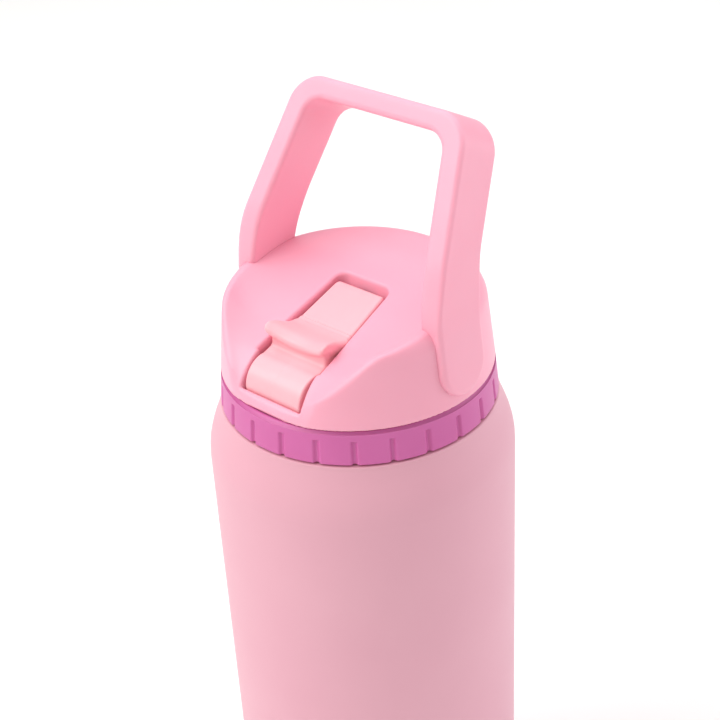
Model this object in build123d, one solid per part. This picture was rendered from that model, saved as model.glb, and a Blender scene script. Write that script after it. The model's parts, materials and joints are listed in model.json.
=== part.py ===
from build123d import *
from math import cos, radians, sin, sqrt, tan
import os

# Insulated shaker bottle with a flip-up straw spout and a fixed carry handle.
# Millimetres, +Z up, origin at the centre of the base. The spout is at the front, towards -Y.

# ---- driving dimensions -------------------------------------------------------------------
BODY_R = 46.0            # outside of the straight body wall
COLLAR_TOP = 205.0       # height of the grip collar's top edge above the base
COLLAR_H = 10.2
COLLAR_R_TOP = 40.2
COLLAR_R_BOTTOM = 41.1
COLLAR_R_IN = 38.1
NOTCHES = 24             # grip notches round the collar
SEAM = 0.35              # gap between the collar and the lid shell
STEEL = 0.6              # wall of the outer shell
LINER = 0.5              # wall of the inner liner
LINER_R = 43.0           # outside of the inner liner
BASE_LIFT = 8.0          # liner floor above the base

MOUTH_R = 35.6           # inside of the neck
NECK_R = 37.5            # outside of the neck
NECK_RIM = -7.0          # top of the neck, from the collar's top edge
SHOULDER_TOP = -10.7
SHOULDER_R = 41.2
SHOULDER_FOOT = -29.0    # where the shoulder meets the straight wall

THREAD_PITCH = 5.0
THREAD_TURNS = 1.0
THREAD_FEMALE_Z = -19.3  # lower end of the neck's ridge
THREAD_MALE_Z = -20.8    # lower end of the plug's ridge
THREAD_MALE_R = 35.2
THREAD_FEMALE_R = 34.5

PLUG_R = 34.0            # threaded plug that goes into the neck
PLUG_WALL = 2.6
PLUG_BOTTOM = -23.5
FLANGE_TOP = -3.0
FLANGE_T = 2.2
DECK_TOP = -5.5
DECK_T = 2.0
GASKET_T = 1.6

LID_R = 40.2             # lid wall at the collar, and how it draws in with height
LID_DRAFT = 0.108
LID_WALL = 2.4
LID_H = 26.3             # flat plateau at the back
LID_ROUND = 7.0          # rounded edge of the plateau
LEDGE_Z = 3.4            # low sill in front of the spout

HINGE_Y = -28.4          # spout hinge, parallel to X
HINGE_Z = 3.8
BARREL_R = 7.5
BARREL_HALF = 10.3
POCKET_GAP = 0.4
POCKET_HALF = 11.0
PIN_R = 1.5
PIN_PLAY = 0.05
SPOUT_OPEN = 90.0        # degrees that the spout lifts

ARM_Z0 = 20.45           # top of the spout arm at y = 0, and its slope
ARM_SLOPE = 0.34
ARM_T = 8.4
ARM_END = 4.2            # far end of the mouthpiece
ARM_HALF = 9.1           # half width at y = 0, and how it widens to the front
ARM_FLARE = 0.062
SOFT_START = -12.5       # where the soft mouthpiece starts
RECESS_END = 5.7
RECESS_HALF = 10.0
RECESS_FLARE = 0.065
RECESS_R = 2.5
CHANNEL_R = 2.3
PORT_ANGLE = 308.0       # way of the drinking port under the open barrel, from +Y towards +Z

TAB_HALF = 11.3          # thumb tab
TAB_TIP_Y = -26.6
TAB_TOP_Z = 18.6

STRAW_Y = -21.5
STRAW_R = 3.6
STRAW_WALL = 0.6
STRAW_FOOT = 14.0        # lower end of the straw above the base

HANDLE_TOP = 77.1        # highest edge of the handle above the collar's top edge
HANDLE_LEAN = 28.8       # degrees that the loop leans back
HANDLE_DEPTH = 17.0
HANDLE_T = 7.0           # thickness of the legs
HANDLE_BAR_T = 6.2
HANDLE_FOOT_HALF = 39.9   # half width at HANDLE_FOOT_Z, outside, and how it draws in
HANDLE_FOOT_Z = 26.0
HANDLE_FOOT_Y = -13.25
HANDLE_TAPER = 0.1664
TONGUE_HALF = 9.25       # the lower tongues on the lid wall
TONGUE_Y = 0.25
TONGUE_Z = 11.6          # centre of the rounded tongue end
TONGUE_OUT = 41.3        # outer face of the tongue at z = 0, and how it draws in
TONGUE_TAPER = 0.115
TONGUE_T = 5.4
BEND_Z = 32.8            # where the tongues turn into the leaning legs
BEND_R = 14.0

BASE_PLATE_R = 39.0
SPIGOT_R = 38.0          # ring under the lid shell that stands on the plug's flange
VENT_HOLE_R = 1.5
PORT_SPIGOT_R = 4.0
RING_T = 0.9             # thickness of the straw port's ring
PIN_START = 6.0          # inner end of each hinge pin, and its depth in the lid
PIN_DEPTH = 3.4
SEAL_R = 3.5             # spout seal, and its ends measured from the hinge line
SEAL_START = BARREL_R + 0.25
SEAL_END = 8.9
STUB_R = 3.3             # stub of the spout inside the mouthpiece
HOUSING_WALL = 1.3       # round the barrel pocket, and at its two ends
HOUSING_END = 1.6
HOUSING_PLAY = 0.1       # between the housing and the plug
BOSS_R = 5.6             # round the drinking port
BOSS_END = 14.0
NEST_WALL = 1.6
SILL_HALF = 11.8         # half width of the opening in front of the barrel
SPIGOT_T = 2.0
RIDGE_ROOT = 2.0         # width of a thread ridge at its wall and at its crest
RIDGE_CREST = 0.8
NOTCH_PHASE = 9.5        # degrees, depth and radius of the grip notches
NOTCH_DEPTH = 0.7
NOTCH_R = 1.1
NOZZLE_FOOT = -19.0
NOZZLE_FLANGE_R = 6.2
NOZZLE_FLANGE_T = 1.6
NOZZLE_BORE_R = 2.0
STRAW_TOP = -11.5
STRAW_NOTCH_R = 2.0
HANDLE_CORNER_R = 8.5    # outside and inside corners of the handle's loop
HANDLE_INNER_R = 4.5

GRID_T = 1.6             # mixing grid: thickness, bars and rim
GRID_BAR = 1.6
GRID_PITCH = 9.2
GRID_SIDE = 2            # bars on each side of the middle one
GRID_RIM = 2.6
GRID_LIFT = 0.8          # above the plug's lower end
GRID_PLAY = 0.3          # round the straw

Z0 = COLLAR_TOP
BIG = 200.0
OVERLAP = 0.2            # how far a swept ridge sinks into its wall


# ---- small helpers ------------------------------------------------------------------------
def smooth(start, end, value):
    """0 before start, 1 after end, and a soft step between them."""
    t = min(max((value - start) / (end - start), 0.0), 1.0)
    return t * t * (3 - 2 * t)


def turned(points):
    """A solid of revolution about Z from (radius, height) points."""
    return revolve(make_face(Plane.XZ * Polyline(*points, close=True)), Axis.Z)


def turned_face(outline):
    """A solid of revolution about Z from a closed outline."""
    return revolve(make_face(Plane.XZ * outline), Axis.Z)


def tube(radius, inner, low, high, x=0.0, y=0.0):
    """An upright pipe between two heights."""
    ring = Circle(radius) - Circle(inner)
    return extrude(Pos(x, y, low) * ring, amount=high - low)


def rod(radius, low, high, x=0.0, y=0.0):
    """An upright cylinder between two heights."""
    return extrude(Pos(x, y, low) * Circle(radius), amount=high - low)


def block(low, high):
    """A box from its lowest to its highest corner."""
    size = [b - a for a, b in zip(low, high)]
    centre = [(a + b) / 2 for a, b in zip(low, high)]
    return Pos(*centre) * Box(*size)


def cross_rod(radius, half, y=HINGE_Y, z=HINGE_Z):
    """A rod parallel to X, centred on the hinge line."""
    return Pos(0, y, Z0 + z) * Rot(0, 90, 0) * Cylinder(radius, 2 * half)


def side_slab(outline, half):
    """A YZ outline, heights from the collar's top edge, stretched to both sides of x = 0."""
    face = make_face(Plane.YZ * Pos(0, Z0) * outline)
    return extrude(face, amount=half, both=True)


def ridge(radius, crest, root_width, crest_width, start):
    """One helical thread ridge, from its wall at radius to its crest."""
    inward = 1 if crest > radius else -1
    root = radius - inward * OVERLAP
    path = Pos(0, 0, Z0 + start) * Helix(THREAD_PITCH, THREAD_PITCH * THREAD_TURNS, radius)
    section = Polyline(
        (root, Z0 + start - root_width / 2),
        (crest, Z0 + start - crest_width / 2),
        (crest, Z0 + start + crest_width / 2),
        (root, Z0 + start + root_width / 2),
        close=True,
    )
    return sweep(make_face(Plane.XZ * section), path=path, is_frenet=True)


# ---- bottle -------------------------------------------------------------------------------
def shoulder_curve(inset):
    """The outside of the body wall and shoulder, drawn in by inset, from the foot upwards."""
    foot = Z0 + SHOULDER_FOOT
    top = Z0 + SHOULDER_TOP
    return Spline(
        (BODY_R - inset, foot),
        (45.2 - inset, foot + 6.5),
        (42.7 - inset, foot + 13.5),
        (SHOULDER_R - inset, top - 0.9 - inset / 2),
        tangents=[(0, 1), (-0.35, 1)],
    )


def bottle_skin(inset, rim, corner):
    """Closed outline from the base to the neck's rim, drawn in by inset all round."""
    base = 0.5 + inset
    neck = NECK_R - inset
    shoulder = shoulder_curve(inset)
    lip = (SHOULDER_R - inset - 0.9, Z0 + SHOULDER_TOP - inset)
    wall = BODY_R - inset
    lines = Line((0, base), (wall - corner, base))
    lines += TangentArc((wall - corner, base), (wall, base + corner), tangent=(1, 0))
    lines += Line((wall, base + corner), shoulder @ 0)
    lines += shoulder
    lines += Line(shoulder @ 1, lip)
    lines += Polyline(lip, (neck, lip[1]), (neck, rim), (0, rim), (0, base))
    return lines


def outer_shell():
    """Powder-coated steel shell, open at the neck and round the base plate."""
    skin = turned_face(bottle_skin(0.0, Z0 + NECK_RIM, 4.5))
    hollow = turned_face(bottle_skin(STEEL, Z0 + NECK_RIM - STEEL, 4.0))
    mouth = rod(MOUTH_R + LINER, Z0 + NECK_RIM - 5, Z0 + 1)
    base_hole = rod(BASE_PLATE_R, -1, 4)
    return skin - hollow - mouth - base_hole


def inner_liner():
    """Drinking vessel: a deep steel cup with a rolled thread in its neck."""
    low = BASE_LIFT
    shoulder = Z0 - 40
    neck_low = Z0 - 25
    rim = Z0 + NECK_RIM

    def cup(wall, neck, floor, corner, top, drop):
        lines = Line((0, floor), (wall - corner, floor))
        lines += TangentArc((wall - corner, floor), (wall, floor + corner), tangent=(1, 0))
        turn = Spline((wall, shoulder - drop), (neck, neck_low - drop), tangents=[(0, 1), (0, 1)])
        lines += Line((wall, floor + corner), (wall, shoulder - drop))
        lines += turn
        lines += Polyline((neck, neck_low - drop), (neck, top), (0, top), (0, floor))
        return turned_face(lines)

    outside = cup(LINER_R, MOUTH_R + LINER, low, 8.0, rim, 0.0)
    inside = cup(LINER_R - LINER, MOUTH_R, low + LINER, 7.4, rim + 5, 0.3)
    thread = ridge(MOUTH_R, THREAD_FEMALE_R, RIDGE_ROOT, RIDGE_CREST, THREAD_FEMALE_Z)
    return outside - inside + thread


def base_plate():
    """Steel disc that closes the outer shell, dished up in the middle."""
    under = [(0, 1.5), (34, 1.5), (36, 0.9), (BASE_PLATE_R, 0.9)]
    over = [(BASE_PLATE_R, 1.7), (36.3, 1.7), (34.3, 2.3), (0, 2.3)]
    return turned(under + over)


def vacuum_getter():
    """Puck on the base plate that keeps the vacuum between the shells."""
    return turned([(0, 2.3), (7.5, 2.3), (7.5, 3.1), (6.3, 4.1), (0, 4.1)])


def base_pad():
    """Soft non-slip foot, which stands on the table."""
    return turned([(0, 0.4), (26, 0.4), (27, 0), (32.8, 0), (33.6, 0.6), (33.6, 1.5), (0, 1.5)])


# ---- lid ----------------------------------------------------------------------------------
def rim_height(y):
    """Height of the lid's edge: low lobes at the front, rising in an S to the plateau."""
    return 7.0 + 15.5 * smooth(-40.5, -21.5, y) + 8.0 * smooth(-30, 12, y)


def recess_half(y):
    """Half width of the spout's nest."""
    return RECESS_HALF - RECESS_FLARE * min(y, RECESS_END)


def lid_radius(z):
    """Outside of the lid wall, which draws in with height."""
    return LID_R - LID_DRAFT * z


def top_height(x, y):
    """The scooped top of the lid: a valley along the spout that rises to the rim."""
    nose = max(0.0, -y - 28.0)
    valley = 21.3 + 0.31 * y - 0.07 * nose * nose
    rim = rim_height(y)
    radius = lid_radius(rim)
    reach = sqrt(max(radius * radius - y * y, 0.0))
    span = max(reach - recess_half(y), 4.0)
    t = min(max((abs(x) - recess_half(y)) / span, 0.0), 1.3)
    return valley + (rim - valley) * t**1.8


def above_top(drop):
    """Everything above the scooped top, which is lowered by drop."""
    half, count = 46.0, 24
    steps = [half * (2 * i / (count - 1) - 1) for i in range(count)]
    rows = [[(x, y, Z0 + top_height(x, y) - drop) for x in steps] for y in steps]
    skin = Face.make_surface_from_array_of_points(rows, tol=0.1, min_deg=3, max_deg=3)
    return extrude(skin, amount=80, dir=(0, 0, 1))


def lid_outside():
    """The lid's outer form with no recesses."""
    top = LID_H
    wall_top = top - LID_ROUND * 0.9
    lines = Polyline((0, Z0 + SEAM), (lid_radius(SEAM), Z0 + SEAM), (lid_radius(wall_top), Z0 + wall_top))
    start = lines @ 1
    end = (lid_radius(top) - LID_ROUND, Z0 + top)
    lines += Spline(start, end, tangents=[(-LID_DRAFT, 1), (-1, 0)])
    lines += Polyline(end, (0, Z0 + top), (0, Z0 + SEAM))
    return turned_face(lines) - above_top(0.0)


def arm_top(y):
    """Height of the spout arm's top face."""
    return ARM_Z0 + ARM_SLOPE * y


def recess_prism(grow):
    """The nest of the spout arm, open to the top; grow widens and deepens it."""
    drop = ARM_T * sqrt(1 + ARM_SLOPE**2) + 1.2 + grow
    front, back = HINGE_Y, RECESS_END + grow
    floor = Polyline(
        (front, arm_top(front) - drop),
        (back, arm_top(back) - drop),
        (back, 60),
        (front, 60),
        close=True,
    )
    front_half = recess_half(front) + grow
    back_half = recess_half(back) + grow
    plan = Polyline(
        (-front_half, front), (-back_half, back), (back_half, back), (front_half, front), close=True
    )
    plan = make_face(plan)
    plan = fillet([v for v in plan.vertices() if v.Y > 0], RECESS_R)
    return side_slab(floor, 30) & extrude(Pos(0, 0, Z0 - 40) * plan, amount=140)


def port_way(distance):
    """Point on the port's axis at a distance from the hinge line."""
    angle = radians(PORT_ANGLE)
    return (0, HINGE_Y + distance * cos(angle), Z0 + HINGE_Z + distance * sin(angle))


def port_rod(radius, start, end):
    """A cylinder along the drinking port's axis."""
    plane = Plane(origin=port_way(start), z_dir=(0, cos(radians(PORT_ANGLE)), sin(radians(PORT_ANGLE))))
    return extrude(plane * Circle(radius), amount=end - start)


def housing():
    """The wall round the barrel pocket, with the port's boss, kept inside the lid's spigot."""
    shell = cross_rod(BARREL_R + POCKET_GAP + HOUSING_WALL, POCKET_HALF + HOUSING_END)
    shell += port_rod(BOSS_R, 0, BOSS_END)
    above = block((-BIG, -BIG, Z0 + SEAM), (BIG, BIG, Z0 + 60))
    spigot = rod(SPIGOT_R, Z0 + FLANGE_TOP, Z0 + SEAM)
    well = rod(PLUG_R - PLUG_WALL - 0.2, Z0 + DECK_TOP, Z0 + FLANGE_TOP)
    return shell & (above + spigot + well)


def lid_shell():
    """Moulded lid: scooped top, spout nest, barrel pocket and a spigot into the collar."""
    outside = lid_outside()
    lines = Polyline(
        (0, Z0 - 1),
        (lid_radius(0) - LID_WALL, Z0 - 1),
        (lid_radius(LID_H) - LID_WALL, Z0 + LID_H - LID_WALL),
        (0, Z0 + LID_H - LID_WALL),
        close=True,
    )
    hollow = turned_face(lines) - above_top(LID_WALL * 1.1) - recess_prism(NEST_WALL) - housing()
    spigot = tube(SPIGOT_R, SPIGOT_R - SPIGOT_T, Z0 + FLANGE_TOP, Z0 + 4.0)
    shell = (outside - hollow) + (spigot - above_top(0.0)) + (housing() - above_top(0.0))
    pocket = cross_rod(BARREL_R + POCKET_GAP, POCKET_HALF)
    window = block((-SILL_HALF, -60, Z0 + LEDGE_Z), (SILL_HALF, HINGE_Y, Z0 + 60))
    window &= block((-60, -60, Z0), (60, HINGE_Y, Z0 + 60))
    shell = shell - recess_prism(0.0) - pocket - window
    shell -= cross_rod(PIN_R, POCKET_HALF + PIN_DEPTH)
    shell -= port_rod(SEAL_R, 0, SEAL_END) + port_rod(CHANNEL_R, 0, 20)
    return shell


def inner_cap():
    """Threaded plug with the deck that closes the lid, and the flange that presses the gasket."""
    inner = PLUG_R - PLUG_WALL
    body = tube(PLUG_R, inner, Z0 + PLUG_BOTTOM, Z0 + FLANGE_TOP)
    body += tube(COLLAR_R_IN, inner, Z0 + FLANGE_TOP - FLANGE_T, Z0 + FLANGE_TOP)
    body += rod(inner + 0.5, Z0 + DECK_TOP - DECK_T, Z0 + DECK_TOP)
    body += ridge(PLUG_R, THREAD_MALE_R, RIDGE_ROOT, RIDGE_CREST, THREAD_MALE_Z)
    around = BARREL_R + POCKET_GAP + HOUSING_WALL + HOUSING_PLAY
    body -= cross_rod(around, POCKET_HALF + HOUSING_END + HOUSING_PLAY)
    body -= rod(VENT_HOLE_R, Z0 - 20, Z0)
    body -= rod(PORT_SPIGOT_R, Z0 - 20, Z0, y=STRAW_Y)
    return body


def grip_collar():
    """Coloured grip ring with vertical notches in its lower three quarters."""
    low = Z0 - COLLAR_H
    ring = turned(
        [
            (COLLAR_R_IN, low),
            (COLLAR_R_BOTTOM - 0.3, low),
            (COLLAR_R_BOTTOM, low + 0.4),
            (COLLAR_R_TOP, Z0 - 0.5),
            (COLLAR_R_TOP - 0.5, Z0),
            (COLLAR_R_IN, Z0),
        ]
    )
    for number in range(NOTCHES):
        angle = NOTCH_PHASE + number * 360 / NOTCHES - 90
        notch = Rot(0, 0, angle) * Pos(COLLAR_R_BOTTOM + 1.0 - NOTCH_DEPTH, 0, low - 1)
        ring -= notch * extrude(Circle(NOTCH_R), amount=COLLAR_H * 0.75 + 1)
    return ring


def lid_gasket():
    """Loose flat ring on the neck's rim, held on the plug by the thread's crest."""
    low = Z0 + NECK_RIM + 0.1
    return tube(NECK_R - 0.1, PLUG_R + 0.3, low, low + GASKET_T)


def vent_valve():
    """Umbrella valve in the middle of the deck."""
    deck = Z0 + DECK_TOP
    under = deck - DECK_T
    return turned(
        [
            (0, under - 1.1),
            (2.0, under - 1.1),
            (5.2, under - 0.4),
            (5.2, under - 0.1),
            (VENT_HOLE_R - 0.1, under - 0.1),
            (VENT_HOLE_R - 0.1, deck + 0.1),
            (2.4, deck + 0.1),
            (1.4, deck + 1.6),
            (0, deck + 1.6),
        ]
    )


def spout_seal():
    """Silicone seat that the barrel turns on."""
    seal = port_rod(SEAL_R, 0, SEAL_END) - port_rod(CHANNEL_R, -1, 20)
    return seal - cross_rod(SEAL_START, 30)


def straw_port():
    """Nozzle under the deck that the straw pushes onto."""
    deck = Z0 + DECK_TOP
    flange = Z0 + DECK_TOP - DECK_T - RING_T
    nozzle = rod(PORT_SPIGOT_R, flange, deck, y=STRAW_Y)
    nozzle += rod(NOZZLE_FLANGE_R, flange - NOZZLE_FLANGE_T, flange, y=STRAW_Y)
    nozzle += rod(STRAW_R - STRAW_WALL, Z0 + NOZZLE_FOOT, flange, y=STRAW_Y)
    return nozzle - rod(NOZZLE_BORE_R, Z0 - 30, Z0, y=STRAW_Y)


def port_ring():
    """Washer that clips the nozzle under the deck."""
    under = Z0 + DECK_TOP - DECK_T
    return tube(BOSS_R, PORT_SPIGOT_R, under - RING_T, under, y=STRAW_Y)


def straw():
    """Drinking straw, notched at its foot so that it can't seal on the floor."""
    pipe = tube(STRAW_R, STRAW_R - STRAW_WALL, STRAW_FOOT, Z0 + STRAW_TOP, y=STRAW_Y)
    notch = Pos(0, STRAW_Y, STRAW_FOOT) * Rot(0, 90, 0) * Cylinder(STRAW_NOTCH_R, 3 * STRAW_R)
    return pipe - notch


def mixer_grid():
    """Agitator grid, one moulding clipped into the open end of the plug."""
    outer = PLUG_R - PLUG_WALL
    across = 2 * outer - 1
    bars = [Pos(x * GRID_PITCH, 0) * Rectangle(GRID_BAR, across) for x in range(-GRID_SIDE, GRID_SIDE + 1)]
    bars.append(Rectangle(across, GRID_BAR))
    bars.append(Pos(0, STRAW_Y) * Circle(STRAW_R + GRID_PLAY + GRID_BAR))
    web = (Sketch() + bars) & Circle(outer - OVERLAP)
    rim = Circle(outer) - Circle(outer - GRID_RIM)
    plan = rim + web - Pos(0, STRAW_Y) * Circle(STRAW_R + GRID_PLAY)
    return extrude(Pos(0, 0, Z0 + PLUG_BOTTOM + GRID_LIFT) * plan, amount=GRID_T)


def hinge_pins():
    """Two short steel pins, fixed in the lid, that the barrel turns on."""
    pins = []
    for side in (-1, 1):
        middle = side * (PIN_START + POCKET_HALF + PIN_DEPTH) / 2
        length = POCKET_HALF + PIN_DEPTH - PIN_START
        pins.append(Pos(middle, HINGE_Y, Z0 + HINGE_Z) * Rot(0, 90, 0) * Cylinder(PIN_R, length))
    return Compound(children=[p.solid() for p in pins])


# ---- spout --------------------------------------------------------------------------------
def arm_plan(front, back, corner=1.6):
    """The arm seen from above, as a prism; its far corners are rounded."""
    front_half = ARM_HALF - ARM_FLARE * front
    back_half = ARM_HALF - ARM_FLARE * back
    plan = make_face(
        Polyline(
            (-front_half, front), (-back_half, back), (back_half, back), (front_half, front), close=True
        )
    )
    if corner:
        plan = fillet([v for v in plan.vertices() if v.Y > back - 0.1], corner)
    return extrude(Pos(0, 0, Z0 - 20) * plan, amount=60)


def arm_slab(front, back):
    """The sloping arm between two places along Y."""
    thick = ARM_T * sqrt(1 + ARM_SLOPE**2)
    return side_slab(
        Polyline(
            (front, arm_top(front)),
            (back, arm_top(back)),
            (back, arm_top(back) - thick),
            (front, arm_top(front) - thick),
            close=True,
        ),
        30,
    )


def channel():
    """Drinking way: from the tip through the arm to the barrel, then out to the port."""
    start = (0, HINGE_Y, Z0 + HINGE_Z)
    tip_z = arm_top(ARM_END) - ARM_T / 2
    rise = (tip_z - HINGE_Z) / (ARM_END - HINGE_Y)
    along = Plane(origin=start, z_dir=(0, 1, rise))
    way = extrude(along * Circle(CHANNEL_R), amount=60)
    closed = radians(PORT_ANGLE - SPOUT_OPEN)
    out = Plane(origin=start, z_dir=(0, cos(closed), sin(closed)))
    return way + extrude(out * Circle(CHANNEL_R), amount=12) + Pos(*start) * Sphere(CHANNEL_R)


def thumb_tab():
    """Raised lip over the barrel, with a concave throat under it."""
    front_z = 16.6
    lip = Line((TAB_TIP_Y + 0.5, front_z), (TAB_TIP_Y, TAB_TOP_Z - 0.7))
    lip += Line((TAB_TIP_Y, TAB_TOP_Z - 0.7), (TAB_TIP_Y + 0.8, TAB_TOP_Z))
    lip += Line((TAB_TIP_Y + 0.8, TAB_TOP_Z), (-24.2, TAB_TOP_Z))
    slope = (-14.5, arm_top(-14.5))
    lip += Spline((-24.2, TAB_TOP_Z), (-20.5, 15.4), slope, tangents=[(1, -0.3), (1, ARM_SLOPE)])
    lip += Polyline(slope, (-18.5, 13.6), (-22.5, 15.4))
    lip += Spline((-22.5, 15.4), (TAB_TIP_Y + 0.5, front_z), tangents=[(-1, 0.1), (-1, 0.6)])
    plan = Polyline((-TAB_HALF, TAB_TIP_Y), (-TAB_HALF, -22.6), (-9.9, -19.5), (-9.3, -14))
    plan += Polyline((-9.3, -14), (9.3, -14), (9.9, -19.5), (TAB_HALF, -22.6), (TAB_HALF, TAB_TIP_Y))
    plan += Line((TAB_HALF, TAB_TIP_Y), (-TAB_HALF, TAB_TIP_Y))
    plan = fillet([v for v in make_face(plan).vertices() if v.Y < -24], 1.8)
    tab = side_slab(lip, 30) & extrude(Pos(0, 0, Z0) * plan, amount=40)
    foot = (HINGE_Y + 2, HINGE_Z + 6.6)
    throat = Line(foot, (-24.9, 10.7))
    throat += Spline((-24.9, 10.7), (-25.0, 13.2), (TAB_TIP_Y + 0.9, 16.9), tangents=[(0.4, 1), (-1, 0.9)])
    throat += Polyline((TAB_TIP_Y + 0.9, 16.9), (-20, 15.0), (-18, 8.0), (foot[0], HINGE_Z), foot)
    return tab + side_slab(throat, BARREL_HALF - 0.3)


def spout():
    """Hinged spout: barrel, arm and thumb tab, with a stub inside the soft mouthpiece."""
    body = cross_rod(BARREL_R, BARREL_HALF)
    root = arm_slab(HINGE_Y + 2, SOFT_START) & arm_plan(HINGE_Y + 2, SOFT_START, corner=0)
    body += root + thumb_tab() + spout_stub()
    body -= channel()
    socket_start = PIN_START - 0.2
    socket_end = BARREL_HALF + 0.5
    for side in (-1, 1):
        middle = side * (socket_start + socket_end) / 2
        socket = Pos(middle, HINGE_Y, Z0 + HINGE_Z) * Rot(0, 90, 0)
        body -= socket * Cylinder(PIN_R + PIN_PLAY, socket_end - socket_start)
    return body


def spout_stub():
    """Round core that carries the mouthpiece."""
    start = SOFT_START - 1.0
    rise = (arm_top(ARM_END) - ARM_T / 2 - HINGE_Z) / (ARM_END - HINGE_Y)
    origin = (0, start, Z0 + HINGE_Z + rise * (start - HINGE_Y))
    return extrude(Plane(origin=origin, z_dir=(0, 1, rise)) * Circle(STUB_R), amount=10)


def mouthpiece():
    """Soft tip that is bitten or drunk from."""
    soft = arm_slab(SOFT_START, ARM_END) & arm_plan(SOFT_START, ARM_END)
    return soft - spout_stub() - channel()


# ---- handle -------------------------------------------------------------------------------
def handle_side():
    """Outline seen from the side: rounded tongue, bend, leaning leg and the bar's top."""
    lean = tan(radians(HANDLE_LEAN))
    front = TONGUE_Y - TONGUE_HALF
    back = TONGUE_Y + TONGUE_HALF
    top_front = (HANDLE_FOOT_Y + lean * (HANDLE_TOP - HANDLE_FOOT_Z), HANDLE_TOP)
    top_back = (
        top_front[0] + HANDLE_DEPTH * cos(radians(HANDLE_LEAN)),
        top_front[1] - HANDLE_DEPTH * sin(radians(HANDLE_LEAN)),
    )
    lines = Polyline((front, TONGUE_Z), (front, BEND_Z), top_front, top_back)
    lines += Polyline(top_back, (back, BEND_Z), (back, TONGUE_Z))
    lines += ThreePointArc((back, TONGUE_Z), (TONGUE_Y, TONGUE_Z - TONGUE_HALF), (front, TONGUE_Z))
    face = make_face(lines)
    bends = [v for v in face.vertices() if abs(v.Y - BEND_Z) < 0.1]
    face = fillet(bends, BEND_R)
    return extrude(Plane.YZ * Pos(0, Z0) * face, amount=60, both=True)


def handle_arch():
    """The leaning loop: two legs and the bar, drawn in their own leaning plane."""
    lean = radians(HANDLE_LEAN)
    top = (HANDLE_TOP - HANDLE_FOOT_Z) / cos(lean)
    inner_top = top - HANDLE_BAR_T
    foot = -12.0         # lower end of the legs along the lean, inside the tongues

    def half(v, inset):
        return HANDLE_FOOT_HALF - inset - HANDLE_TAPER * v

    outer = [(half(foot, 0), foot), (half(top, 0), top)]
    inner = [(half(inner_top, HANDLE_T), inner_top), (half(foot, HANDLE_T), foot)]
    points = [(-x, v) for x, v in outer] + outer[::-1] + inner[::-1] + [(-x, v) for x, v in inner]
    face = make_face(Polyline(*points, close=True))
    face = fillet([v for v in face.vertices() if v.Y > top - 0.1], HANDLE_CORNER_R)
    inner_corners = [v for v in face.vertices() if abs(v.Y - inner_top) < 0.1 and abs(v.X) > 20]
    face = fillet(inner_corners, HANDLE_INNER_R)
    plane = Plane(
        origin=(0, HANDLE_FOOT_Y, Z0 + HANDLE_FOOT_Z), x_dir=(1, 0, 0), z_dir=(0, -cos(lean), sin(lean))
    )
    return extrude(plane * face, amount=-HANDLE_DEPTH - 1)


def carry_handle():
    """Fixed dog-leg handle: tongues on the lid wall, then a loop that leans back."""
    tongues = None
    bend_out = TONGUE_OUT - TONGUE_TAPER * (BEND_Z + 4)
    for side in (-1, 1):
        outline = Polyline(
            (side * TONGUE_OUT, 0),
            (side * bend_out, BEND_Z + 4),
            (side * (bend_out - TONGUE_T), BEND_Z + 4),
            (side * (bend_out - TONGUE_T + 1), 0),
            close=True,
        )
        tongue = extrude(make_face(Plane.XZ * Pos(0, Z0) * outline), amount=30, both=True)
        tongues = tongue if tongues is None else tongues + tongue
    low = block((-BIG, -BIG, Z0), (BIG, BIG, Z0 + BEND_Z))
    high = block((-BIG, -BIG, Z0 + BEND_Z - 3), (BIG, BIG, Z0 + 100))
    loop = (tongues & low) + (handle_arch() & high)
    return (loop & handle_side()) - lid_outside()


PARTS = {
    "outer_shell": outer_shell,
    "inner_liner": inner_liner,
    "base_plate": base_plate,
    "vacuum_getter": vacuum_getter,
    "base_pad": base_pad,
    "lid_shell": lid_shell,
    "inner_cap": inner_cap,
    "grip_collar": grip_collar,
    "lid_gasket": lid_gasket,
    "vent_valve": vent_valve,
    "spout_seal": spout_seal,
    "straw_port": straw_port,
    "port_ring": port_ring,
    "straw": straw,
    "mixer_grid": mixer_grid,
    "hinge_pins": hinge_pins,
    "spout": spout,
    "mouthpiece": mouthpiece,
    "carry_handle": carry_handle,
}

os.makedirs("parts", exist_ok=True)
for name, make in PARTS.items():
    export_step(make(), f"parts/{name}.step")
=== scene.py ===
import json
from math import cos, pi, radians, sin, sqrt

import bpy
import numpy as np
from mathutils import Matrix, Vector


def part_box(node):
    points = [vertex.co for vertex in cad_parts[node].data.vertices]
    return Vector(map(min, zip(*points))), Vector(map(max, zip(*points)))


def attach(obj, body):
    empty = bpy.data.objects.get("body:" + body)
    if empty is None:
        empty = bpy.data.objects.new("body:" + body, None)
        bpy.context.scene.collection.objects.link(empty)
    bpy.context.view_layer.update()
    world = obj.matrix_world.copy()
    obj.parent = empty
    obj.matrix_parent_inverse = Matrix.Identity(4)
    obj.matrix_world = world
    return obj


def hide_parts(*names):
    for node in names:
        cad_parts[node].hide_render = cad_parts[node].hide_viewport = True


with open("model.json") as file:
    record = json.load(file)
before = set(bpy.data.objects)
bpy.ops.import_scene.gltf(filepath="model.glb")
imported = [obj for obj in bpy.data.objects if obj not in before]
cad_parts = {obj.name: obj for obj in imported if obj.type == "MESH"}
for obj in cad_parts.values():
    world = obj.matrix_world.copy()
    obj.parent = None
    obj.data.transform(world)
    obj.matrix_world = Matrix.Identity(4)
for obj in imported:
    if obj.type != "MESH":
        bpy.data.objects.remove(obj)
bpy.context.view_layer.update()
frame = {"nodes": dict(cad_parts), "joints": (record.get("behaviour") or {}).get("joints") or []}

MM = 0.001

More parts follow.
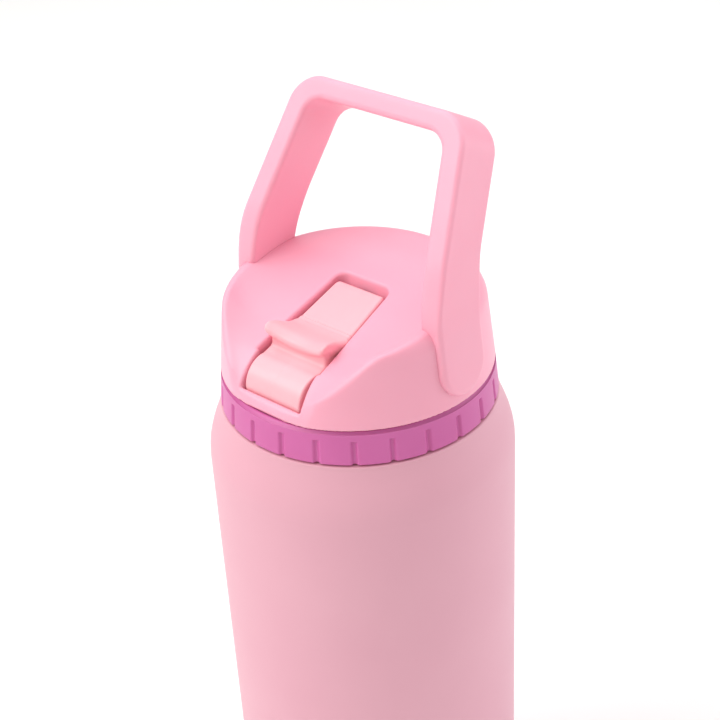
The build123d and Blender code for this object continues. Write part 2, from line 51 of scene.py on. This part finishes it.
# ---- places read from the frame, in millimetres ---------------------------------------------
collar_low, collar_high = (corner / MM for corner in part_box("grip_collar"))
shell_low, shell_high = (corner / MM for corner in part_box("outer_shell"))
lid_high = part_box("lid_shell")[1] / MM
mouth_low, mouth_high = (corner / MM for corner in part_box("mouthpiece"))
spout_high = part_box("spout")[1] / MM
handle_low, handle_high = (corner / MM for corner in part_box("carry_handle"))
hinge = next(j for j in frame["joints"] if j["name"] == "spout_flip")["pos_m"]

Z0 = collar_high.z                    # every height below is from the collar's top edge
HINGE_Y = hinge[1] / MM
HINGE_Z = hinge[2] / MM - Z0
BODY_R = min(shell_high.x, shell_high.y)
COLLAR_R_BOTTOM = collar_high.x
COLLAR_H = collar_high.z - collar_low.z

# ---- shape of the moulded parts, the same form as the frame's -------------------------------
INSET = 0.02                          # how far most faces stay inside the frame's
LID_R, LID_DRAFT, LID_WALL = 40.17, 0.108, 2.4
LID_H = lid_high.z - Z0
LID_ROUND = 7.0
SEAM = 0.4
LEDGE_Z = 3.4
CREASE_R = 1.7                        # soft edge where the scoop meets the lid's wall
RIM_Z, RIM_RISE, RIM_BACK = 7.0, 15.5, 8.0          # the wall's top: sill, barrel's sides, back
RIM_RISE_Y, RIM_BACK_Y = (-40.5, -21.5), (-30, 12)
VALLEY_Z, VALLEY_SLOPE, SCOOP_POWER = 21.3, 0.31, 1.8
NOSE_Y, NOSE_DROP = -28.0, 0.07
SPAN_MIN, SHARE_MAX = 4.0, 1.3        # keep the scoop's form defined outside the lid
NEST_CORNER, NEST_FILLET, NEST_PLAY = 3.1, 0.8, 0.8
WINDOW_FLARE, WINDOW_FLARE_Y, WINDOW_EDGE = 0.5, (-30, -38), 0.5
RECESS_EDGE, POCKET_EDGE, SEAM_EDGE = 0.8, 0.3, 0.3
RECESS_WALL, POCKET_WALL = 1.6, 1.3
BARREL_R, BARREL_HALF, BARREL_EDGE = 7.48, 10.28, 0.5
POCKET_R, POCKET_HALF = 7.9, 11.0
ARM_Z0, ARM_SLOPE, ARM_T = 20.43, 0.34, 8.9
ARM_SCALE = sqrt(1 + ARM_SLOPE**2)
ARM_HALF, ARM_FLARE = 9.05, 0.062
ARM_EDGE, ARM_LIFT = 0.9, 0.6         # edge radius, and how much thinner than the frame's below
ARM_END = mouth_high.y - INSET
SOFT_START = mouth_low.y
RECESS_END, RECESS_HALF, RECESS_FLARE = 5.7, 10.0, 0.065
TAB_HALF = spout_high.x - INSET
LIP_Y, LIP_DISH_Y, LIP_Z, LIP_DISH_Z = -24.6, 1.95, 15.9, 2.5
TAB_FLAT, TAB_ROOT_Y, TAB_TOP_Z = 1.2, -13.5, 19.0
TAB_T, TAB_THICKEN, TAB_CORNER = 1.45, 0.20, 2.2
TOP_SCALE, UNDER_SCALE = 0.85, 0.9    # turn the tab's height differences into distances
WING_HALF, WING_Y = 9.9, (-23.2, -19.0)
MOULD_LINE, MOULD_LINE_HALF = 0.07, 0.28
NECK_Y, NECK_BULGE, NECK_Z, NECK_REACH, NECK_END = 24.3, 0.9, 13.6, 3.0, 15.0
MOUTH_ROUND, MOUTH_R, MOUTH_SQUASH, MOUTH_START = 2.8, 2.2, 0.62, -6.0
NECK_HALF = 10.45                     # under the tab, between the arm and the barrel
HANDLE_LEAN = radians(28.8)
HANDLE_TOP = handle_high.z - Z0 - 0.03
HANDLE_FOOT = (-13.25, 26.0)
HANDLE_HALF, HANDLE_TAPER, HANDLE_T, HANDLE_BAR_T, HANDLE_DEPTH = 39.85, 0.1664, 7.0, 6.2, 17.0
HANDLE_ROUND, HANDLE_INNER_ROUND, HANDLE_EDGE, HANDLE_SINK = 8.5, 5.0, 1.6, 0.35
BEND_Z, BEND_BELOW, BEND_ABOVE, BEND_SOFT = 32.8, 9, 7, 5.0
TONGUE_Y, TONGUE_Z, TONGUE_HALF = 0.25, 11.6, 9.2
TONGUE_OUT, TONGUE_TAPER = 41.25, 0.115
COARSE, FINE = 0.5, 0.3               # grid sizes of the sampled fields


# ---- distance fields: negative inside, in millimetres ---------------------------------------
def step(start, end, value):
    t = np.clip((value - start) / (end - start), 0, 1)
    return t * t * (3 - 2 * t)


def meet(a, b, r):
    """Intersection of two fields, with its edge rounded to radius r."""
    return np.minimum(np.maximum(a, b), -r) + np.hypot(np.maximum(a + r, 0), np.maximum(b + r, 0))


def cut(a, b, r):
    return meet(a, -b, r)


def join(a, b, r):
    """Union of two fields, with its inner corner filled to radius r."""
    return np.maximum(np.minimum(a, b), r) - np.hypot(np.maximum(r - a, 0), np.maximum(r - b, 0))


def surface_net(values):
    """Vertices (in cells) and quads of the zero surface of a sampled field."""
    nx, ny, nz = values.shape
    corners = [(i, j, k) for i in (0, 1) for j in (0, 1) for k in (0, 1)]
    inside = values < 0
    count = sum(
        inside[i : nx - 1 + i, j : ny - 1 + j, k : nz - 1 + k].astype(np.int8) for i, j, k in corners
    )
    active = (count > 0) & (count < 8)
    cells = np.argwhere(active)
    number = np.full(active.shape, -1, np.int64)
    number[active] = np.arange(len(cells))
    total = np.zeros((len(cells), 3))
    hits = np.zeros(len(cells))
    for a in corners:
        for axis in range(3):
            if a[axis]:
                continue
            b = tuple(1 if n == axis else c for n, c in enumerate(a))
            fa = values[tuple((cells + a).T)]
            fb = values[tuple((cells + b).T)]
            crossed = (fa < 0) != (fb < 0)
            t = np.where(crossed, fa / np.where(crossed, fa - fb, 1), 0)
            point = np.array(a) + t[:, None] * (np.array(b) - np.array(a))
            total += point * crossed[:, None]
            hits += crossed
    vertices = cells + total / hits[:, None]
    quads = []
    for axis in range(3):
        u, v = (axis + 1) % 3, (axis + 2) % 3
        here = [slice(1, -1)] * 3
        here[axis] = slice(0, -1)
        there = list(here)
        there[axis] = slice(1, None)
        first, second = inside[tuple(here)], inside[tuple(there)]
        for mask, flip in ((first & ~second, False), (~first & second, True)):
            base = np.argwhere(mask)
            base[:, u] += 1
            base[:, v] += 1
            ring = []
            for du, dv in ((-1, -1), (0, -1), (0, 0), (-1, 0)):
                cell = base.copy()
                cell[:, u] += du
                cell[:, v] += dv
                ring.append(number[tuple(cell.T)])
            quads.append(np.stack(ring[::-1] if flip else ring, axis=1))
    return vertices, np.concatenate(quads)


def moulded(name, field, low, high, size):
    """A smooth mesh of a field's surface, with its vertices drawn onto the exact surface."""
    low, high = np.array(low, float), np.array(high, float)
    axes = [np.arange(low[n] - 1.5 * size, high[n] + 2.5 * size, size) for n in range(3)]
    grid = np.meshgrid(*axes, indexing="ij")
    vertices, quads = surface_net(field(*grid))
    points = vertices * size + (low - 1.5 * size)
    gap = size * 0.1
    for _ in range(3):
        here = field(*points.T)
        slopes = []
        for axis in range(3):
            ahead, behind = points.copy(), points.copy()
            ahead[:, axis] += gap
            behind[:, axis] -= gap
            slopes.append((field(*ahead.T) - field(*behind.T)) / (2 * gap))
        slope = np.stack(slopes, axis=1)
        steepness = np.maximum((slope**2).sum(1), 0.2)
        move = np.clip(here / steepness, -0.4 * size, 0.4 * size)
        points -= slope * move[:, None]
    points[:, 2] += Z0
    return mesh_piece(name, points * MM, quads)


def mesh_piece(name, points, faces):
    data = bpy.data.meshes.new(name)
    data.from_pydata([tuple(p) for p in points], [], [tuple(f) for f in faces])
    data.polygons.foreach_set("use_smooth", [True] * len(data.polygons))
    data.update()
    piece = bpy.data.objects.new(name, data)
    bpy.context.scene.collection.objects.link(piece)
    return piece


def lathe(name, outline, around=288, ripple=None):
    """A closed ring or solid of revolution from (radius, height) points in mm."""
    angles = np.linspace(0, 2 * pi, around, endpoint=False)
    rows = np.array(outline, float)
    radius = np.repeat(rows[:, :1], around, axis=1)
    height = np.repeat(rows[:, 1:], around, axis=1)
    if ripple:
        radius = ripple(radius, height, angles[None, :])
    points = np.stack([radius * np.cos(angles), radius * np.sin(angles), height + Z0], axis=-1)
    count = len(rows)
    faces = []
    for i in range(count):
        following = (i + 1) % count
        for j in range(around):
            right = (j + 1) % around
            here, there = i * around, following * around
            faces.append((here + j, here + right, there + right, there + j))
    return mesh_piece(name, points.reshape(-1, 3) * MM, faces)


# ---- lid ------------------------------------------------------------------------------------
def rim_height(y):
    return RIM_Z + RIM_RISE * step(*RIM_RISE_Y, y) + RIM_BACK * step(*RIM_BACK_Y, y)


def recess_half(y):
    return RECESS_HALF - RECESS_FLARE * np.minimum(y, RECESS_END)


def scoop(x, y):
    """Height of the lid's scooped top."""
    nose = np.maximum(0.0, NOSE_Y - y)
    valley = VALLEY_Z + VALLEY_SLOPE * y - NOSE_DROP * nose * nose
    rim = rim_height(y)
    radius = LID_R - LID_DRAFT * rim
    reach = np.sqrt(np.maximum(radius * radius - y * y, 0.0))
    span = np.maximum(reach - recess_half(y), SPAN_MIN)
    t = np.clip((np.abs(x) - recess_half(y)) / span, 0, SHARE_MAX)
    return valley + (rim - valley) * t**SCOOP_POWER


def lid_form(x, y, z):
    """The lid's outer form with no recesses."""
    wall = (np.hypot(x, y) - (LID_R - LID_DRAFT * z)) / sqrt(1 + LID_DRAFT**2)
    plateau = meet(wall, z - (LID_H - INSET), LID_ROUND)
    gap = 0.2
    height = scoop(x, y)
    slope_x = (scoop(x + gap, y) - height) / gap
    slope_y = (scoop(x, y + gap) - height) / gap
    top = (z - height) / np.sqrt(1 + slope_x**2 + slope_y**2)
    return meet(plateau, top, CREASE_R)


def arm_top(y):
    return ARM_Z0 + ARM_SLOPE * y


def nest(x, y, z, grow):
    """The recess that the spout's arm lies in."""
    side = np.abs(x) - recess_half(y) - grow
    plan = meet(side, y - RECESS_END - grow, NEST_CORNER)
    floor = arm_top(y) - ARM_T * ARM_SCALE - NEST_PLAY - grow
    return np.maximum(meet(plan, (floor - z) / ARM_SCALE, NEST_FILLET), HINGE_Y - y)


def barrel_pocket(x, y, z, grow):
    reach = np.hypot(y - HINGE_Y, z - HINGE_Z) - POCKET_R - grow
    return np.maximum(reach, np.abs(x) - POCKET_HALF - grow)


def window(x, y, z, grow):
    """The opening over the sill, in front of the barrel."""
    side = np.abs(x) - POCKET_HALF - grow - WINDOW_FLARE * step(*WINDOW_FLARE_Y, y)
    return meet(np.maximum(side, y - HINGE_Y), LEDGE_Z - grow - z, WINDOW_EDGE)


def lid_field(x, y, z):
    form = lid_form(x, y, z)
    void = np.minimum(nest(x, y, z, 0.0), window(x, y, z, 0.0))
    outer = cut(form, void, RECESS_EDGE)
    outer = cut(outer, barrel_pocket(x, y, z, 0.0), POCKET_EDGE)
    thick = np.minimum(nest(x, y, z, RECESS_WALL), barrel_pocket(x, y, z, POCKET_WALL))
    thick = np.minimum(thick, window(x, y, z, RECESS_WALL))
    hollow = np.maximum(form + LID_WALL, -thick)
    shell = np.maximum(outer, -hollow)
    return meet(shell, SEAM - z, SEAM_EDGE)


def lid_piece():
    return moulded("lid_cover", lid_field, (-LID_R, -LID_R, 0), (LID_R, LID_R, LID_H), COARSE)


# ---- handle ---------------------------------------------------------------------------------
def handle_field(x, y, z):
    """Tongues on the lid wall that turn, in one sweep, into the loop that leans back."""
    lean_sin, lean_cos = sin(HANDLE_LEAN), cos(HANDLE_LEAN)
    dy, dz = y - HANDLE_FOOT[0], z - HANDLE_FOOT[1]
    along = dy * lean_sin + dz * lean_cos
    depth = dy * lean_cos - dz * lean_sin
    top = (HANDLE_TOP - HANDLE_FOOT[1]) / lean_cos
    side = np.abs(x)
    tongue_face = side - (TONGUE_OUT - TONGUE_TAPER * z)
    loop_face = (side - HANDLE_HALF + HANDLE_TAPER * along) / sqrt(1 + HANDLE_TAPER**2)
    face = tongue_face + (loop_face - tongue_face) * step(BEND_Z - BEND_BELOW, BEND_Z + BEND_ABOVE, z)
    outside = meet(face, along - top, HANDLE_ROUND)
    inside = meet(face + HANDLE_T, along - (top - HANDLE_BAR_T), HANDLE_INNER_ROUND)
    front = meet(TONGUE_Y - TONGUE_HALF - y, -depth, BEND_SOFT)
    behind = join(y - TONGUE_Y - TONGUE_HALF, depth - HANDLE_DEPTH, BEND_SOFT)
    foot = np.hypot(y - TONGUE_Y, z - TONGUE_Z) - TONGUE_HALF
    profile = np.where(z < TONGUE_Z, foot, np.maximum(front, behind))
    loop = meet(meet(outside, profile, HANDLE_EDGE), -inside, HANDLE_EDGE)
    return np.maximum(loop, -(lid_form(x, y, z) + HANDLE_SINK))


def handle_piece():
    low = (-TONGUE_OUT, handle_low.y, TONGUE_Z - TONGUE_HALF)
    high = (TONGUE_OUT, handle_high.y, HANDLE_TOP)
    return moulded("handle", handle_field, low, high, COARSE)


# ---- spout ----------------------------------------------------------------------------------
def arm_field(x, y, z):
    plan = np.abs(x) - (ARM_HALF - ARM_FLARE * y)
    over = (z - arm_top(y)) / ARM_SCALE
    under = (arm_top(y) - z) / ARM_SCALE - ARM_T + ARM_LIFT
    return meet(meet(plan, over, ARM_EDGE), under, ARM_EDGE)


def lip_line(x):
    """Where the thumb tab's front edge runs: (y, z), dished, with its tips forward and up."""
    share = (x / TAB_HALF) ** 2
    return LIP_Y - LIP_DISH_Y * share, LIP_Z + LIP_DISH_Z * share


def tab_top(x, y):
    edge_y, edge_z = lip_line(x)
    fall = 1 - step(edge_y + TAB_FLAT, TAB_ROOT_Y, y)
    return arm_top(y) + (edge_z - arm_top(edge_y)) * fall


def spout_field(x, y, z):
    side = np.abs(x)
    reach = np.hypot(y - HINGE_Y, z - HINGE_Z)
    line = MOULD_LINE * np.exp(-((x / MOULD_LINE_HALF) ** 2))
    barrel = meet(reach - BARREL_R + line, side - BARREL_HALF, BARREL_EDGE)
    arm = np.maximum(arm_field(x, y, z), HINGE_Y + 1.0 - y)
    edge_y, edge_z = lip_line(x)
    top = z - tab_top(x, y)
    thickness = TAB_T + TAB_THICKEN * np.maximum(y - edge_y, 0)
    under = tab_top(x, y) - thickness - z
    width = side - (WING_HALF + (TAB_HALF - WING_HALF) * (1 - step(*WING_Y, y)))
    ends = meet(width, edge_y - y, TAB_CORNER)
    wing = meet(meet(top * TOP_SCALE, under * UNDER_SCALE, 0.6), ends, 0.7)
    front = -NECK_Y - NECK_BULGE * ((z - NECK_Z) / NECK_REACH) ** 2 - y
    neck = meet(meet(front, side - NECK_HALF, 1.0), top * TOP_SCALE + 0.3, 0.4)
    neck = np.maximum(neck, np.maximum(y + NECK_END, HINGE_Z - z))
    body = join(join(join(wing, neck, 1.8), arm, 0.6), barrel, 0.35)
    body = np.maximum(body, y - (SOFT_START - 0.08))
    return np.maximum(body, side - TAB_HALF)


def soft_field(x, y, z):
    """The soft mouthpiece, a little proud of the arm, with a rounded end and an oval mouth."""
    soft = arm_field(x, y, z)
    soft = meet(soft, y - ARM_END, MOUTH_ROUND)
    soft = meet(soft, SOFT_START + 0.02 - y, 0.35)
    rise = (arm_top(ARM_END) - ARM_T / 2 - HINGE_Z) / (ARM_END - HINGE_Y)
    centre = HINGE_Z + rise * (y - HINGE_Y)
    way = np.hypot(x * MOUTH_SQUASH, (z - centre) / ARM_SCALE) - MOUTH_R
    return cut(soft, np.maximum(way, MOUTH_START - y), 0.6)


def spout_piece():
    low = (-TAB_HALF, HINGE_Y - BARREL_R, HINGE_Z - BARREL_R)
    return moulded("spout_body", spout_field, low, (TAB_HALF, SOFT_START, TAB_TOP_Z), FINE)


def mouthpiece_piece():
    low = (mouth_low.x, mouth_low.y, mouth_low.z - Z0)
    high = (mouth_high.x, mouth_high.y, mouth_high.z - Z0)
    return moulded("mouthpiece_soft", soft_field, low, high, FINE)


# ---- collar ---------------------------------------------------------------------------------
NOTCHES = 24
NOTCH_PHASE = radians(9.5 - 90)
NOTCH_DEPTH, NOTCH_HALF, NOTCH_TOP = 0.75, (0.25, 1.15), (0.32, 0.26)   # top as shares of the height
COLLAR_T, COLLAR_TAPER, COLLAR_ROWS, ROUND_STEPS = 2.98, 0.9, 40, 48
STEP_H, STEP_IN = 0.9, 0.55           # step round the collar's top edge, in the lid's shadow


def collar_piece():
    inner = COLLAR_R_BOTTOM - COLLAR_T
    top_r, bottom_r = COLLAR_R_BOTTOM - COLLAR_TAPER, COLLAR_R_BOTTOM - INSET
    low = -COLLAR_H
    outline = [(inner, -0.25), (inner, low + 0.3)]
    outline += [(inner + 0.3, low + 0.02), (bottom_r - 0.5, low + 0.02), (bottom_r - 0.15, low + 0.12)]
    for n in range(COLLAR_ROWS + 1):
        share = n / COLLAR_ROWS
        outline.append((bottom_r + (top_r - bottom_r) * share, low + 0.4 + share * (COLLAR_H - 0.9)))
    outline[-1] = (top_r, -STEP_H - 0.15)
    outline += [(top_r - 0.12, -STEP_H), (top_r - STEP_IN, -STEP_H + 0.05), (top_r - STEP_IN, -0.05)]
    outline += [(inner + 0.3, -0.02)]

    def notch(radius, height, angles):
        pitch = 2 * pi / NOTCHES
        offset = (angles - NOTCH_PHASE + pitch / 2) % pitch - pitch / 2
        across = np.abs(offset) * COLLAR_R_BOTTOM
        groove = 1 - step(*NOTCH_HALF, across)
        reach = 1 - step(-COLLAR_H * NOTCH_TOP[0], -COLLAR_H * NOTCH_TOP[1], height)
        outer = radius > inner + 1
        return radius - outer * groove * reach * NOTCH_DEPTH

    return lathe("collar_ring", outline, around=NOTCHES * ROUND_STEPS, ripple=notch)


# ---- bottle ---------------------------------------------------------------------------------
SHOULDER = [(BODY_R, -29.0), (45.75, -25.5), (45.15, -22.5), (44.05, -19.0)]
SHOULDER += [(42.7, -15.6), (41.75, -12.9), (41.35, -11.6)]
COAT_INSET, FOOT_R, WALL_ROWS = 0.01, 4.5, 24


def smooth_line(points, pieces=10):
    """Catmull-Rom through a few points."""
    p = [np.array(q, float) for q in points]
    p = [2 * p[0] - p[1]] + p + [2 * p[-1] - p[-2]]
    line = []
    for a, b, c, d in zip(p, p[1:], p[2:], p[3:]):
        for n in range(pieces):
            t = n / pieces
            square, cube = 2 * a - 5 * b + 4 * c - d, 3 * b - a - 3 * c + d
            line.append(tuple(0.5 * (2 * b + (c - a) * t + square * t**2 + cube * t**3)))
    return line + [tuple(p[-2])]


def arc(centre, radius, start, end, pieces=10):
    spread = [start + (end - start) * n / pieces for n in range(pieces + 1)]
    return [(centre[0] + radius * cos(radians(a)), centre[1] + radius * sin(radians(a))) for a in spread]


def bottle_outline():
    low = shell_low.z - Z0
    plate_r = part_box("base_plate")[1].x / MM
    rim = shell_high.z - Z0
    outline = [(plate_r + 0.02, low + 0.9), (plate_r + 0.1, low + 0.25), (plate_r + 0.5, low + 0.02)]
    outline += arc((BODY_R - FOOT_R - INSET, low + FOOT_R + INSET), FOOT_R, -90, 0, 14)
    foot = low + 6.0
    wall = [foot + (-29.5 - foot) * n / WALL_ROWS for n in range(WALL_ROWS + 1)]
    outline += [(BODY_R - COAT_INSET, z) for z in wall]
    outline += smooth_line([(r - COAT_INSET, z) for r, z in SHOULDER])
    outline += arc((40.75, -11.35), 0.62, 10, 90, 8)
    outline += [(38.6, -10.72), (37.9, -10.6), (37.5, -10.2), (37.48, -7.5)]
    outline += [(37.3, rim - 0.05), (36.4, rim - 0.02), (36.3, -9.0), (36.9, -12.0), (40.2, -13.0)]
    outline += [(44.8, -28.0), (45.1, -31.0), (45.1, low + 5), (43, low + 1.5)]
    return outline


# ---- materials ------------------------------------------------------------------------------
RAMP_START, RAMP_END = 0.3, 0.7


class Maker:
    """A node material built up in a few lines."""

    def __init__(self, name):
        self.material = bpy.data.materials.new(name)
        self.material.use_nodes = True
        self.nodes = self.material.node_tree.nodes
        self.links = self.material.node_tree.links
        self.shader = self.nodes["Principled BSDF"]

    def add(self, kind, **values):
        node = self.nodes.new(kind)
        for key, value in values.items():
            node.inputs[key].default_value = value
        return node

    def link(self, source, output, target, socket):
        self.links.new(source.outputs[output], target.inputs[socket])

    def noise(self, scale, detail=3.0, roughness=0.5, stretch=(1, 1, 1)):
        coordinates = self.add("ShaderNodeTexCoord")
        mapping = self.add("ShaderNodeMapping")
        mapping.inputs["Scale"].default_value = stretch
        self.link(coordinates, "Object", mapping, "Vector")
        noise = self.add("ShaderNodeTexNoise", Scale=scale, Detail=detail, Roughness=roughness)
        self.link(mapping, "Vector", noise, "Vector")
        return noise

    def ramp(self, source, low, high):
        ramp = self.add("ShaderNodeValToRGB")
        ramp.color_ramp.elements[0].position = RAMP_START
        ramp.color_ramp.elements[1].position = RAMP_END
        ramp.color_ramp.elements[0].color = (*low, 1)
        ramp.color_ramp.elements[1].color = (*high, 1)
        self.link(source, "Fac", ramp, "Fac")
        return ramp

    def roughness(self, source, low, high):
        spread = self.add("ShaderNodeMapRange")
        spread.inputs["To Min"].default_value = low
        spread.inputs["To Max"].default_value = high
        self.link(source, "Fac", spread, "Value")
        self.link(spread, "Result", self.shader, "Roughness")

    def bump(self, source, strength, distance, under=None):
        bump = self.add("ShaderNodeBump", Strength=strength, Distance=distance)
        self.link(source, "Fac", bump, "Height")
        if under:
            self.link(under, "Normal", bump, "Normal")
        return bump


def linear(red, green, blue):
    """sRGB from 0 to 255, as linear light."""
    values = []
    for channel in (red, green, blue):
        c = channel / 255
        values.append(c / 12.92 if c <= 0.04045 else ((c + 0.055) / 1.055) ** 2.4)
    return tuple(values)


def moulded_plastic(name, dark, light, rough=(0.36, 0.44), soft=0.12, grain=0.06):
    m = Maker(name)
    clouds = m.noise(38.0, 2.0)
    colour = m.ramp(clouds, dark, light)
    m.link(colour, "Color", m.shader, "Base Color")
    worn = m.noise(240.0, 4.0, 0.6)
    m.roughness(worn, *rough)
    fine = m.bump(m.noise(5200.0, 2.0), grain, 0.00004)
    waves = m.bump(m.noise(90.0, 1.0), 0.10, 0.0002, under=fine)
    m.link(waves, "Normal", m.shader, "Normal")
    m.shader.inputs["Subsurface Weight"].default_value = soft
    m.shader.inputs["Subsurface Radius"].default_value = (1.0, 0.45, 0.5)
    m.shader.inputs["Subsurface Scale"].default_value = 0.003
    m.shader.inputs["IOR"].default_value = 1.49
    return m.material


def powder_coat():
    m = Maker("powder_coat")
    clouds = m.noise(22.0, 2.0)
    colour = m.ramp(clouds, linear(223, 163, 180), linear(226, 168, 184))
    m.link(colour, "Color", m.shader, "Base Color")
    rough = m.noise(900.0, 3.0, 0.6)
    m.roughness(rough, 0.50, 0.66)
    grain = m.bump(m.noise(2600.0, 3.0, 0.6), 0.22, 0.00008)
    peel = m.bump(m.noise(520.0, 2.0), 0.10, 0.00015, under=grain)
    m.link(peel, "Normal", m.shader, "Normal")
    m.shader.inputs["Sheen Weight"].default_value = 0.15
    m.shader.inputs["Sheen Roughness"].default_value = 0.5
    return m.material


def brushed_steel():
    m = Maker("electropolished_steel")
    streaks = m.noise(160.0, 4.0, 0.6, stretch=(1, 1, 24))
    colour = m.ramp(streaks, (0.52, 0.52, 0.53), (0.66, 0.66, 0.67))
    m.link(colour, "Color", m.shader, "Base Color")
    m.roughness(streaks, 0.22, 0.36)
    m.link(m.bump(streaks, 0.08, 0.00005), "Normal", m.shader, "Normal")
    m.shader.inputs["Metallic"].default_value = 1.0
    return m.material


# ---- build ----------------------------------------------------------------------------------
def place(piece, body, slot, material, *nodes):
    piece.data.materials.clear()
    piece.data.materials.append(material)
    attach(piece, body)
    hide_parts(*nodes)


def finish_node(node, material):
    data = frame["nodes"][node].data
    if data.materials:
        for number in range(len(data.materials)):
            data.materials[number] = material
    else:
        data.materials.append(material)


lid_pink = moulded_plastic("lid_plastic", linear(247, 168, 190), linear(250, 173, 195))
# the handle is the lid's own plastic, coloured a touch lighter: painted light standing in for the bright
# light on the top of its bar
handle_pink_painted_light = moulded_plastic("handle_plastic_painted_light", linear(249, 168, 190), linear(251, 174, 195))
# the spout is the lid's own plastic, coloured paler: painted light standing in for the light falling on
# its upward faces
spout_pink_painted_light = moulded_plastic(
    "spout_plastic_painted_light", linear(251, 180, 190), linear(252, 185, 195), rough=(0.30, 0.38)
)
soft_pink = moulded_plastic(
    "soft_silicone", linear(251, 183, 193), linear(252, 188, 198), rough=(0.42, 0.5), soft=0.25
)
collar_magenta = moulded_plastic(
    "collar_plastic", linear(203, 95, 161), linear(208, 101, 166), rough=(0.38, 0.46)
)
milky = moulded_plastic("milky_silicone", linear(226, 222, 222), linear(236, 232, 232), soft=0.3)
white = moulded_plastic("natural_plastic", linear(238, 234, 233), linear(244, 240, 239))
pad_pink = moulded_plastic("pad_rubber", linear(214, 150, 174), linear(220, 156, 180), rough=(0.6, 0.75))
steel = brushed_steel()
coat = powder_coat()

place(lid_piece(), "lid", "lid_plastic", lid_pink, "lid_shell")
place(handle_piece(), "lid", "lid_plastic", handle_pink_painted_light, "carry_handle")
place(spout_piece(), "spout", "lid_plastic", spout_pink_painted_light, "spout")
place(mouthpiece_piece(), "spout", "soft_silicone", soft_pink, "mouthpiece")
place(collar_piece(), "lid", "collar_plastic", collar_magenta, "grip_collar")
place(lathe("coated_shell", bottle_outline(), around=384), "bottle", "powder_coat", coat, "outer_shell")

for names, material in (
    (("inner_liner", "base_plate", "vacuum_getter", "hinge_pins"), steel),
    (("lid_gasket", "vent_valve", "spout_seal", "port_ring"), milky),
    (("inner_cap", "straw_port", "straw", "mixer_grid"), white),
    (("base_pad",), pad_pink),
):
    for name in names:
        finish_node(name, material)


# ---- stage, light and camera ----------------------------------------------------------------
def floor():
    half = 3.0
    points = [(-half, -half, 0), (half, -half, 0), (half, half, 0), (-half, half, 0)]
    plane = mesh_piece("floor", points, [(0, 1, 2, 3)])
    m = Maker("floor_paper")
    colour = m.ramp(m.noise(3.0, 2.0), (0.93, 0.93, 0.93), (0.95, 0.95, 0.95))
    m.link(colour, "Color", m.shader, "Base Color")
    m.shader.inputs["Roughness"].default_value = 0.9
    plane.data.materials.append(m.material)


def softbox(name, place_at, target, size, power, tint=(1.0, 1.0, 1.0)):
    data = bpy.data.lights.new(name, "AREA")
    data.shape = "RECTANGLE"
    data.size, data.size_y = size
    data.energy = power
    data.color = tint
    lamp = bpy.data.objects.new(name, data)
    bpy.context.scene.collection.objects.link(lamp)
    lamp.location = place_at
    lamp.rotation_euler = (Vector(target) - Vector(place_at)).to_track_quat("-Z", "Y").to_euler()


AZIMUTH, ELEVATION, ROLL = radians(42.97), radians(31.45), radians(-3.32)
DISTANCE, SHIFT_X, SHIFT_Y = 443.3, -0.612, 1.211   # mm from the centre of the collar's top edge
LENS, SENSOR = 75.7, 36.0                           # mm


def camera():
    back = Vector((sin(AZIMUTH) * cos(ELEVATION), -cos(AZIMUTH) * cos(ELEVATION), sin(ELEVATION)))
    right = Vector((cos(AZIMUTH), sin(AZIMUTH), 0))
    up = back.cross(right)
    across = cos(ROLL) * right + sin(ROLL) * up
    upward = -sin(ROLL) * right + cos(ROLL) * up
    data = bpy.data.cameras.new("camera")
    data.sensor_width = SENSOR
    data.lens = LENS
    eye = bpy.data.objects.new("camera", data)
    bpy.context.scene.collection.objects.link(eye)
    target = Vector((0, 0, Z0))
    spot = (target + DISTANCE * back - SHIFT_X * across - SHIFT_Y * upward) * MM
    turn = Matrix((across, upward, back)).transposed()
    eye.matrix_world = Matrix.Translation(spot) @ turn.to_4x4()
    bpy.context.scene.camera = eye
    return right, back


floor()
right, back = camera()
centre = Vector((0, 0, Z0 * MM))
left_back = centre - right * 1.1 + Vector((0, 0, 0.9)) + back * 0.35
softbox("key", left_back, centre, (1.2, 1.2), 17.5, tint=(1.0, 0.965, 0.93))
softbox("fill", centre + right * 1.4 + back * 0.9 + Vector((0, 0, 0.3)), centre, (1.6, 1.6), 2.6)
right_back = centre + right * 1.3 - back * 0.25 + Vector((0, 0, 0.35))
softbox("rim", right_back, centre, (0.9, 1.6), 7.0, tint=(0.97, 0.95, 1.0))
softbox("top", centre + Vector((0, 0, 1.5)) - back * 0.5, centre, (1.6, 1.6), 11.0)

world = bpy.data.worlds.new("studio")
world.use_nodes = True
world.node_tree.nodes["Background"].inputs["Color"].default_value = (1.0, 0.985, 0.965, 1)
world.node_tree.nodes["Background"].inputs["Strength"].default_value = 0.50
bpy.context.scene.world = world
bpy.context.scene.view_settings.view_transform = "Standard"
